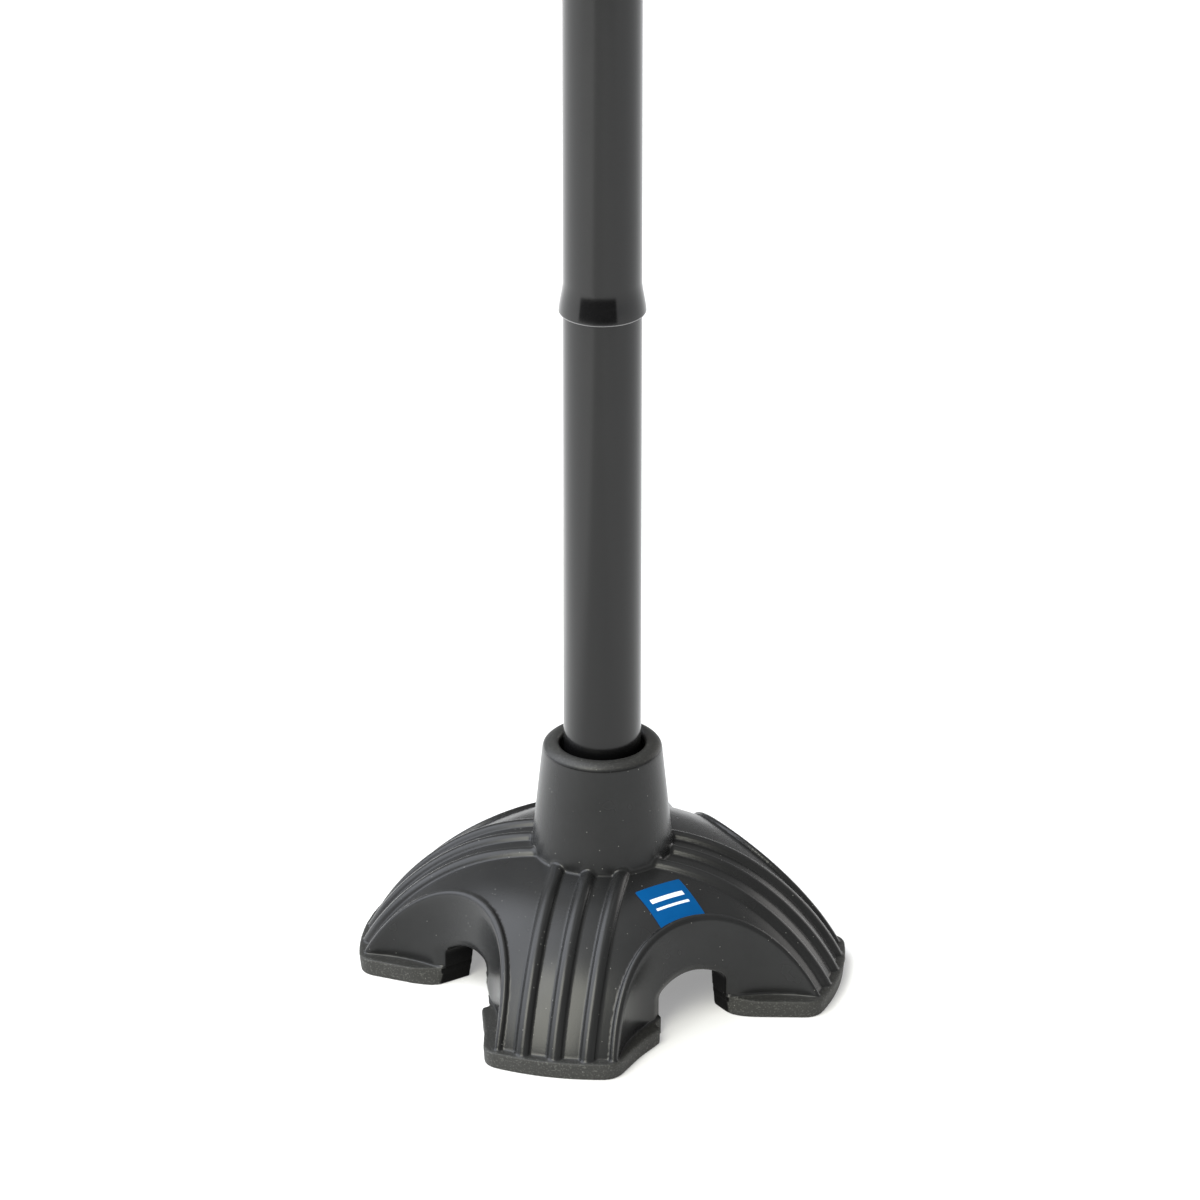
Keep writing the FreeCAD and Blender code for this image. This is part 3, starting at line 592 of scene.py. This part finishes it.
def tip_field(x, y, z):
    """The rubber tip, in millimetres: one foot and half an arch, folded eight ways."""
    u = np.maximum(np.abs(x), np.abs(y))
    v = np.minimum(np.abs(x), np.abs(y))
    radius = np.hypot(x, y)
    arch = np.hypot(ARCH_CENTRE - u, ARCH_CENTRE - v)
    outward = (u + v) / math.sqrt(2)
    dome = dome_field(radius, z)
    ribs = bead_field(np.minimum(v, np.abs(v - RIB_SPACING)), dome, RIB_HALF_WIDTH, RIB_HEIGHT)
    lips = bead_field(arch - ARCH_RADIUS - LIP_WIDTH / 2, dome, LIP_HALF_WIDTH, LIP_HEIGHT)
    shell = soft_min(soft_min(dome, ribs, 0.25), lips, 0.25)
    shell = soft_max(shell, ARCH_RADIUS - arch, 0.7)
    shell = soft_max(shell, SOLE_HEIGHT - 1.5 - z, 0.5)
    aside, x_side, y_side = slot_sides(x, y, z)
    sole = sole_field(x, y, z, arch, (aside, x_side, y_side))
    solid = soft_min(shell, sole, 0.6)
    solid = soft_min(solid, socket_field(radius, z), 0.9)
    boss = np.maximum(radius - BOSS_RADIUS, BOSS_LEVEL - z)
    thicker = np.where((x < 0) & (y < 0), HAND_CUT_WALL, 0.0)
    wall = FOOT_WALL + thicker - FOOT_WALL_DRAFT * (1 - z / NOTCH_SIDE)
    hollow = soft_max(dome + SKIN, ARCH_RADIUS + wall - arch, 3.0)
    hollow = soft_max(hollow, radius - SOLE_RADIUS + FOOT_WALL, 3.0)
    hollow = soft_max(hollow, -boss, 2.0)
    solid = soft_max(solid, -hollow, 0.8)
    slot_top = z - NOTCH_CROWN + (NOTCH_CROWN - NOTCH_SIDE) * (aside / NOTCH_HALF_WIDTH) ** 2
    notch = soft_max(np.maximum(x_side, y_side), slot_top, 1.6)
    notch = np.maximum(notch, NOTCH_START - outward)
    slant = 1 / math.hypot(1 / BEVEL_WIDTH, 1 / BEVEL_DEPTH)
    bevel = (notch / BEVEL_WIDTH + (arch - ARCH_RADIUS) / BEVEL_DEPTH - 1) * slant
    bevel = soft_max(bevel, SOLE_HEIGHT + 0.4 - z, 0.4)
    solid = soft_max(solid, -bevel, 0.3)
    solid = soft_max(solid, -notch, 0.5)
    return soft_max(solid, -bore_field(radius, z), 0.8)


def tip(material):
    reach = SOLE_RADIUS + 1.3
    grain = 0.5
    mesh = field_mesh(
        "quad_base_moulding", tip_field, (-reach, -reach, -1.0), (reach, reach, MOUTH_LEVEL + 1.0), grain
    )
    return add_piece("quad_base_moulding", mesh, "base", material, ["quad_base"])


def dome_height(radius):
    """Height of the dome's surface at a radius."""
    height = CROWN_CENTRE.y + math.sqrt(CROWN_CURVE**2 - (radius - CROWN_CENTRE.x) ** 2)
    for _ in range(8):
        height -= float(dome_field(radius, height))
    return height


def label(material):
    """A thin sticker that follows the dome, with rounded corners."""
    near, far, half, corner = 28.2, 42.0, 7.5, 0.35
    middle, reach = (near + far) / 2, (far - near) / 2
    underside, face, steps = 0.02, 0.28, 28
    shape = bmesh.new()
    layers = []
    for lift in (underside, face):
        grid = []
        for i in range(steps + 1):
            row = []
            for j in range(steps + 1):
                a, b = 2 * i / steps - 1, 2 * j / steps - 1
                along, across = a * reach, b * half
                over = max(abs(along) - (reach - corner), 0), max(abs(across) - (half - corner), 0)
                size = math.hypot(*over)
                if size > corner:
                    along -= math.copysign(over[0] * (1 - corner / size), along)
                    across -= math.copysign(over[1] * (1 - corner / size), across)
                outward = middle + along
                x = (outward + across) / math.sqrt(2)
                y = (across - outward) / math.sqrt(2)
                z = dome_height(math.hypot(x, y)) + lift
                row.append(shape.verts.new((x * MM, y * MM, z * MM)))
            grid.append(row)
        layers.append(grid)
    for grid in layers:
        for i in range(steps):
            for j in range(steps):
                shape.faces.new(
                    (grid[i][j], grid[i + 1][j], grid[i + 1][j + 1], grid[i][j + 1])
                )
    rims = []
    for grid in layers:
        rim = [grid[i][0] for i in range(steps)]
        rim += [grid[steps][j] for j in range(steps)]
        rim += [grid[i][steps] for i in range(steps, 0, -1)]
        rim += [grid[0][j] for j in range(steps, 0, -1)]
        rims.append(rim)
    for i in range(len(rims[0])):
        j = (i + 1) % len(rims[0])
        shape.faces.new((rims[0][i], rims[0][j], rims[1][j], rims[1][i]))
    bmesh.ops.recalc_face_normals(shape, faces=shape.faces)
    mesh = bpy.data.meshes.new("base_label_film")
    shape.to_mesh(mesh)
    shape.free()
    mesh.shade_smooth()
    mesh.set_sharp_from_angle(angle=math.radians(50))
    return add_piece("base_label_film", mesh, "base", material, ["base_label"])


# ------------------------------------------------------------------ tubes

WALL = 1.2
BELL_LENGTH = 9.6
BELL_CUT = 0.9
BELL_BORE = 11.2
HOLE_RADIUS = 3.2
HOLE_PITCH = 25.4
DRILL_REACH = 14.0


def plain_tube(name, node, body, material):
    """A straight tube with eased ends, from its node's box."""
    radius, bottom, top = high(node).x, low(node).z, high(node).z
    outline = rounded(
        [(radius - WALL, bottom), (radius, bottom), (radius, top), (radius - WALL, top)], 0.25
    )
    return add_piece(name, lathe(name, outline), body, material, [node])


def belled_outline(node):
    """Outline of a tube whose lower end swells in an S to a flared rim."""
    rim, bottom, top = high(node).x, low(node).z, high(node).z
    swell = (rim - TUBE_RADIUS) / (BELL_CUT**2 * (3 - 2 * BELL_CUT))
    steps = 30
    outer = []
    for i in range(1, steps + 1):
        t = BELL_CUT * (1 - i / steps)
        ease = t * t * (3 - 2 * t)
        outer.append((TUBE_RADIUS + swell * ease, bottom + BELL_LENGTH * i / steps))
    bore = TUBE_RADIUS - WALL
    outline = [(BELL_BORE + 0.15, bottom), (rim - 0.22, bottom)] + outer
    outline += [(TUBE_RADIUS, top), (bore, top), (bore, bottom + 7.0)]
    outline += [(BELL_BORE - 0.1, bottom + 4.1), (BELL_BORE, bottom + 3.0)]
    return outline + [(BELL_BORE, bottom + 0.2)]


def belled_tube(node, body, enamel_material, edge_material):
    """A section whose flared rim shows a thin line of bare metal."""
    name = f"{node}_finish"
    mesh = lathe(name, belled_outline(node))
    piece = add_piece(name, mesh, body, enamel_material, [node])
    mesh.materials.append(edge_material)
    rim = low(node).z + 0.36
    for face in mesh.polygons:
        heights = [mesh.vertices[i].co.z / MM for i in face.vertices]
        if max(heights) < rim:
            face.material_index = 1
    return piece


def drill(piece, levels):
    """Cuts a round hole for the snap button through the -X side of a tube at each height."""
    radius, reach = HOLE_RADIUS * MM, DRILL_REACH * MM
    shape = bmesh.new()
    for level in levels:
        made = bmesh.ops.create_cone(
            shape, cap_ends=True, segments=48, radius1=radius, radius2=radius, depth=reach
        )
        for vertex in made["verts"]:
            x, y, z = vertex.co
            vertex.co = (z - reach * 0.75, y, x + level * MM)
    cutter_mesh = bpy.data.meshes.new("drill")
    shape.to_mesh(cutter_mesh)
    shape.free()
    cutter = bpy.data.objects.new("drill", cutter_mesh)
    bpy.context.scene.collection.objects.link(cutter)
    modifier = piece.modifiers.new("holes", "BOOLEAN")
    modifier.object = cutter
    modifier.solver = "EXACT"
    graph = bpy.context.evaluated_depsgraph_get()
    finished = bpy.data.meshes.new_from_object(piece.evaluated_get(graph))
    piece.modifiers.clear()
    piece.data = finished
    finished.set_sharp_from_angle(angle=math.radians(40))
    bpy.data.objects.remove(cutter)


# ------------------------------------------------------------------ collar and button


def collar(material):
    """Lock collar with flutes that fingers can grip."""
    bottom, top, radius = low("lock_collar").z, high("lock_collar").z, high("lock_collar").x
    flutes, flute_depth, levels = 24, 0.7, 24
    bore, throat, roof = 13.15, 9.8, top - 2.6
    outline = rounded(
        [
            (bore, bottom), (radius - 1.0, bottom), (radius, bottom + 1.2), (radius, top - 3.0),
            (radius - 2.2, top - 0.4), (radius - 3.6, top), (throat, top), (throat, roof),
            (bore, roof),
        ],
        0.6,
    )

    def grip(angle, reach, height):
        share = smooth_step(np.array(height), bottom + 1.0, bottom + 3.0)
        share = share * (1 - smooth_step(np.array(height), top - 5.0, top - 3.0))
        if reach < radius - 0.4:
            return reach
        groove = max(0.0, math.cos(angle * flutes)) ** 2
        return reach - flute_depth * float(share) * groove

    dense = []
    for i, point in enumerate(outline):
        following = outline[(i + 1) % len(outline)]
        dense.append(point)
        upright = abs(following[0] - point[0]) < 0.01 and abs(following[1] - point[1]) > 6
        if upright and point[0] > radius - 0.1:
            dense += [point.lerp(following, k / levels) for k in range(1, levels)]
    mesh = lathe("lock_collar_grip", dense, sides=flutes * 12, ripple=grip)
    return add_piece("lock_collar_grip", mesh, "collar", material, ["lock_collar"])


def sleeve(material):
    """Threaded sleeve: fine thread turns under the collar, a plain chamfered foot below."""
    bottom, top, radius = low("threaded_sleeve").z, high("threaded_sleeve").z, high("threaded_sleeve").x
    turns, depth, chamfer, plain_foot = 10, 0.5, 0.6, 4.0
    pitch = (top - bottom - plain_foot - 1.0) / turns
    outer = [(radius - chamfer, bottom), (radius, bottom + chamfer), (radius, bottom + plain_foot)]
    for i in range(turns):
        level = bottom + plain_foot + 0.4 + pitch * i
        outer += [(radius - depth, level + pitch * 0.3), (radius, level + pitch * 0.8)]
    outer.append((radius - depth, top))
    outline = [(TUBE_RADIUS, bottom)] + outer + [(TUBE_RADIUS, top)]
    mesh = lathe("threaded_sleeve_turns", outline)
    return add_piece(
        "threaded_sleeve_turns", mesh, "upper_section", material, ["threaded_sleeve"]
    )


def button(material):
    """Snap button: a domed pin that points to -X."""
    box_low, box_high = low("snap_button"), high("snap_button")
    level = (box_low.z + box_high.z) / 2
    tip_x, back_x = -box_low.x, -box_high.x
    radius, flange, cap = 3.1, box_high.y, 1.2
    outline = [(0, back_x), (flange, back_x), (flange, back_x + 1.0), (radius, back_x + 1.0)]
    curve = (radius**2 + cap**2) / (2 * cap)
    widest = math.asin(radius / curve)
    steps = 12
    for i in range(steps + 1):
        angle = widest * (1 - i / steps)
        outline.append((curve * math.sin(angle), tip_x - curve * (1 - math.cos(angle))))
    mesh = lathe("snap_button_pin", outline, closed=False, sides=64)
    for vertex in mesh.vertices:
        x, y, z = vertex.co
        vertex.co = (-z, y, x + level * MM)
    return add_piece("snap_button_pin", mesh, "button", material, ["snap_button"])


# ------------------------------------------------------------------ handle


def handle_field(x, y, z):
    """Derby handle: an arched bar along X, blunt at the nose and longer at the tail, on a short neck."""
    box_low, box_high = low("handle_grip"), high("handle_grip")
    middle = (box_low.x + box_high.x) / 2
    reach = (box_high.x - box_low.x) / 2
    along = (x - middle) / reach
    half_height, arching, highest = 12.7, 0.0030, 10.0
    neck_radius, neck_draft = 11.9, 0.02
    crest = box_high.z - half_height - 0.1
    level = crest - arching * (x - highest) ** 2
    close = np.maximum(1 - np.abs(along) ** 6, 0.0) ** 0.5
    half_width = 12.9 + 0.5 * smooth_step(x, 0.0, 40.0)
    squareness = 2.35
    wide = (np.abs(y) / half_width) ** squareness + (np.abs(z - level) / half_height) ** squareness
    bar = (wide ** (1 / squareness) - np.maximum(close, 0.02)) * half_height
    bar = soft_max(bar, (np.abs(along) - 1) * reach, 4.0)
    foot = max(low("handle_grip").z, high("handle_trim_ring").z)
    radius = np.hypot(x, y)
    neck = soft_max(radius - neck_radius + neck_draft * (z - foot), foot - z, 1.0)
    neck = soft_max(neck, z - crest, 2.0)
    solid = soft_min(bar, neck, 7.0)
    bore = np.maximum(radius - high("adjust_tube").x, z - high("adjust_tube").z)
    return soft_max(solid, -bore, 0.4)


def handle(material):
    box_low, box_high = low("handle_grip"), high("handle_grip")
    margin = Vector((1.5, 1.5, 1.5))
    grain = 0.7
    mesh = field_mesh(
        "handle_grip_moulding", handle_field, tuple(box_low - margin), tuple(box_high + margin), grain
    )
    return add_piece(
        "handle_grip_moulding", mesh, "handle", material, ["handle_grip"]
    )


def trim_ring(material):
    """Chromed ring with a rounded bead at each end."""
    bottom, top, radius = low("handle_trim_ring").z, high("handle_trim_ring").z, high("handle_trim_ring").x
    inner = high("adjust_tube").x
    outline = rounded(
        [
            (inner, bottom), (radius - 0.5, bottom), (radius, bottom + 0.9), (radius - 0.35, bottom + 1.9),
            (radius - 0.35, top - 1.9), (radius, top - 0.9), (radius - 0.5, top), (inner, top),
        ],
        0.35,
    )
    mesh = lathe("handle_trim_ring_finish", outline)
    return add_piece(
        "handle_trim_ring_finish", mesh, "handle", material, ["handle_trim_ring"]
    )


# ------------------------------------------------------------------ elastic cord


def cord(material):
    """The elastic cord in three spans, each of which stretches across one joint."""
    bottom, top = low("elastic_cord").z, high("elastic_cord").z
    radius = high("elastic_cord").x
    joints = [low(node).z for node in ("third_tube", "second_tube", "upper_tube")]
    names = ["elastic_cord_lower", "elastic_cord_middle", "elastic_cord_upper"]
    cuts = [bottom] + [(a + b) / 2 for a, b in zip(joints, joints[1:])] + [top]
    for i, name in enumerate(names):
        start, end = cuts[i], cuts[i + 1]
        steps = 60
        outline = [(0, start)]
        outline += [(radius, start + (end - start) * k / steps) for k in range(steps + 1)]
        outline.append((0, end))
        mesh = lathe(name, outline, closed=False, sides=32)
        mesh.materials.append(material)
        piece = bpy.data.objects.new(name, mesh)
        bpy.context.scene.collection.objects.link(piece)
        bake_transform(piece)
        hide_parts("elastic_cord")


# ------------------------------------------------------------------ stage

AZIMUTH = math.radians(11.5)
ELEVATION = math.radians(25.3)
CAMERA_DISTANCE = 1.981
AIM_HEIGHT = 0.1164
AIM_ASIDE = -0.00065


def camera():
    """Long lens, from in front and above, a little to the right of the -Y foot."""
    right = Vector((math.cos(AZIMUTH), math.sin(AZIMUTH), 0))
    back = Vector(
        (
            math.sin(AZIMUTH) * math.cos(ELEVATION),
            -math.cos(AZIMUTH) * math.cos(ELEVATION),
            math.sin(ELEVATION),
        )
    )
    data = bpy.data.cameras.new("camera")
    data.lens = 210.0
    data.sensor_width = 36.0
    made = bpy.data.objects.new("camera", data)
    bpy.context.scene.collection.objects.link(made)
    aim = right * AIM_ASIDE + Vector((0, 0, AIM_HEIGHT))
    made.location = aim + back * CAMERA_DISTANCE
    made.rotation_euler = (-back).to_track_quat("-Z", "Y").to_euler()
    bpy.context.scene.camera = made


def flat_mesh(name, corners, faces):
    """A flat piece of the stage, which isn't part of the cane."""
    mesh = bpy.data.meshes.new(name)
    mesh.from_pydata(corners, [], faces)
    piece = bpy.data.objects.new(name, mesh)
    bpy.context.scene.collection.objects.link(piece)
    return piece


def floor():
    """A plain pale floor that glows a little more on either side of the cane."""
    reach = 12.0
    corners = [(-reach, -reach, 0), (reach, -reach, 0), (reach, reach, 0), (-reach, reach, 0)]
    made = Shader("floor_white", (0.6, 0.6, 0.6), 0.6)
    made.surface.inputs["Specular IOR Level"].default_value = 0.2
    made.surface.inputs["Emission Color"].default_value = (1, 1, 1, 1)
    split = made.node("ShaderNodeSeparateXYZ")
    made.link(made.place, split.inputs["Vector"])
    left = made.math("MULTIPLY", made.ramp(split.outputs["X"], -0.08, -0.22), 0.75)
    right = made.math("MULTIPLY", made.ramp(split.outputs["X"], 0.08, 0.22), 0.15)
    glow = made.math("ADD", made.math("ADD", left, right), 0.3)
    made.link(glow, made.surface.inputs["Emission Strength"])
    flat_mesh("floor", corners, [(0, 1, 2, 3)]).data.materials.append(made.material)


def dark_gap(name, near, first, last, tone):
    """Part of the unlit room beyond the white table's edge, seen only in reflections.

    It lies between two azimuths, in degrees from the camera's side towards its right.
    """
    far, steps = 11.9, 16
    corners = []
    for i in range(steps + 1):
        angle = AZIMUTH + math.radians(first + (last - first) * i / steps)
        for reach in (near, far):
            corners.append((math.sin(angle) * reach, -math.cos(angle) * reach, 0.001))
    quads = [(2 * i, 2 * i + 1, 2 * i + 3, 2 * i + 2) for i in range(steps)]
    made = Shader(name, (tone, tone, tone), 0.9)
    piece = flat_mesh(name, corners, quads)
    piece.data.materials.append(made.material)
    piece.visible_camera = False
    piece.visible_shadow = False
    piece.visible_diffuse = False


def direction(azimuth, elevation):
    """Unit vector at an azimuth from -Y towards +X and an elevation, in degrees."""
    around, up = math.radians(azimuth), math.radians(elevation)
    return Vector((math.sin(around) * math.cos(up), -math.cos(around) * math.cos(up), math.sin(up)))


def front_softbox():
    """A tall soft window high in front, the strongest light."""
    away, width, height, radiance = 3.0, 1.5, 2.1, 9.6
    lamp = bpy.data.lights.new("front_softbox", "AREA")
    lamp.shape = "RECTANGLE"
    lamp.size, lamp.size_y = width, height
    lamp.energy = radiance * math.pi * width * height
    lamp.color = (1.0, 0.995, 0.88)
    made = bpy.data.objects.new("front_softbox", lamp)
    bpy.context.scene.collection.objects.link(made)
    towards = direction(-18, 47)
    made.location = towards * away
    made.rotation_euler = towards.to_track_quat("Z", "Y").to_euler()


# Soft lights as (azimuth from -Y towards +X, elevation, full within, gone beyond, strength, tint).
SOFT_LIGHTS = [
    (-80, 46, 16, 42, 4.2, (0.95, 0.99, 1.08)),
    (-100, 12, 8, 26, 1.5, (0.95, 0.99, 1.08)),
    (143, 8, 8, 24, 2.0, (1.03, 1.0, 0.97)),
    (-120, 78, 14, 40, 0.8, (1.0, 1.0, 1.0)),
]
AMBIENT = 0.42


def studio_light():
    """A dim surround with a wide soft light on the left and lesser ones on the other sides."""
    world = bpy.data.worlds.new("studio")
    bpy.context.scene.world = world
    world.use_nodes = True
    tree = world.node_tree
    place = tree.nodes.new("ShaderNodeTexCoord").outputs["Generated"]
    total = None
    for azimuth, elevation, inner, outer, strength, tint in SOFT_LIGHTS:
        facing = tree.nodes.new("ShaderNodeVectorMath")
        facing.operation = "DOT_PRODUCT"
        facing.inputs[1].default_value = direction(azimuth, elevation)
        tree.links.new(place, facing.inputs[0])
        edge = tree.nodes.new("ShaderNodeMapRange")
        edge.interpolation_type = "SMOOTHSTEP"
        edge.inputs["From Min"].default_value = math.cos(math.radians(outer))
        edge.inputs["From Max"].default_value = math.cos(math.radians(inner))
        tree.links.new(facing.outputs["Value"], edge.inputs["Value"])
        colour = tree.nodes.new("ShaderNodeVectorMath")
        colour.operation = "MULTIPLY_ADD"
        colour.inputs[1].default_value = [strength * channel for channel in tint]
        tree.links.new(edge.outputs["Result"], colour.inputs[0])
        if total is None:
            colour.inputs[2].default_value = (AMBIENT, AMBIENT, AMBIENT)
        else:
            tree.links.new(total, colour.inputs[2])
        total = colour.outputs["Vector"]
    tree.links.new(total, tree.nodes["Background"].inputs["Color"])


def dress_cad_nodes(materials):
    """Gives each CAD node that stays in view the material of its slot."""
    for row in frame["record"]["subparts"]:
        node = NODES[row["node"]]
        if node.hide_render:
            continue
        node.data.materials.clear()
        node.data.materials.append(materials[row["material_slot"]])


MATERIALS = {
    "tip_rubber": rubber(),
    "label_film": label_film(),
    "zinc_steel": bare_metal("zinc_steel", (0.55, 0.55, 0.53), 0.35),
    "tube_enamel": enamel(),
    "bare_aluminium": bare_metal("bare_aluminium", (0.78, 0.78, 0.79), 0.3),
    "nylon": plastic("nylon", (0.05, 0.05, 0.052), 0.5),
    "cord_braid": braid(),
    "button_steel": bare_metal("button_steel", (0.62, 0.62, 0.61), 0.2),
    "spring_steel": bare_metal("spring_steel", (0.38, 0.39, 0.42), 0.3),
    "black_plastic": plastic("black_plastic", (0.016, 0.016, 0.017), 0.45),
    "handle_plastic": plastic("handle_plastic", (0.014, 0.014, 0.015), 0.33, grain=0.8),
    "trim_chrome": bare_metal("trim_chrome", (0.75, 0.75, 0.76), 0.12),
    "rim_edge": bare_metal("rim_edge", (0.22, 0.22, 0.22), 0.35),
}

bpy.context.scene.view_settings.view_transform = "Standard"
camera()
floor()
dark_gap("front_gap", 1.0, -62, 38, 0.006)
dark_gap("back_gap", 0.9, 152, 215, 0.2)
front_softbox()
studio_light()
tip(MATERIALS["tip_rubber"])
label(MATERIALS["label_film"])
plain_tube("lower_tube_finish", "lower_tube", "base", MATERIALS["tube_enamel"])
belled_tube("third_tube", "third_section", MATERIALS["tube_enamel"], MATERIALS["rim_edge"])
belled_tube("second_tube", "second_section", MATERIALS["tube_enamel"], MATERIALS["rim_edge"])
upper = belled_tube("upper_tube", "upper_section", MATERIALS["tube_enamel"], MATERIALS["rim_edge"])
BUTTON_LEVEL = (low("snap_button").z + high("snap_button").z) / 2
drill(upper, [BUTTON_LEVEL + HOLE_PITCH * i for i in range(-2, 3)])
adjust = plain_tube("adjust_tube_finish", "adjust_tube", "handle", MATERIALS["tube_enamel"])
drill(adjust, [BUTTON_LEVEL])
collar(MATERIALS["black_plastic"])
sleeve(MATERIALS["black_plastic"])
button(MATERIALS["button_steel"])
handle(MATERIALS["handle_plastic"])
trim_ring(MATERIALS["trim_chrome"])
cord(MATERIALS["cord_braid"])
dress_cad_nodes(MATERIALS)
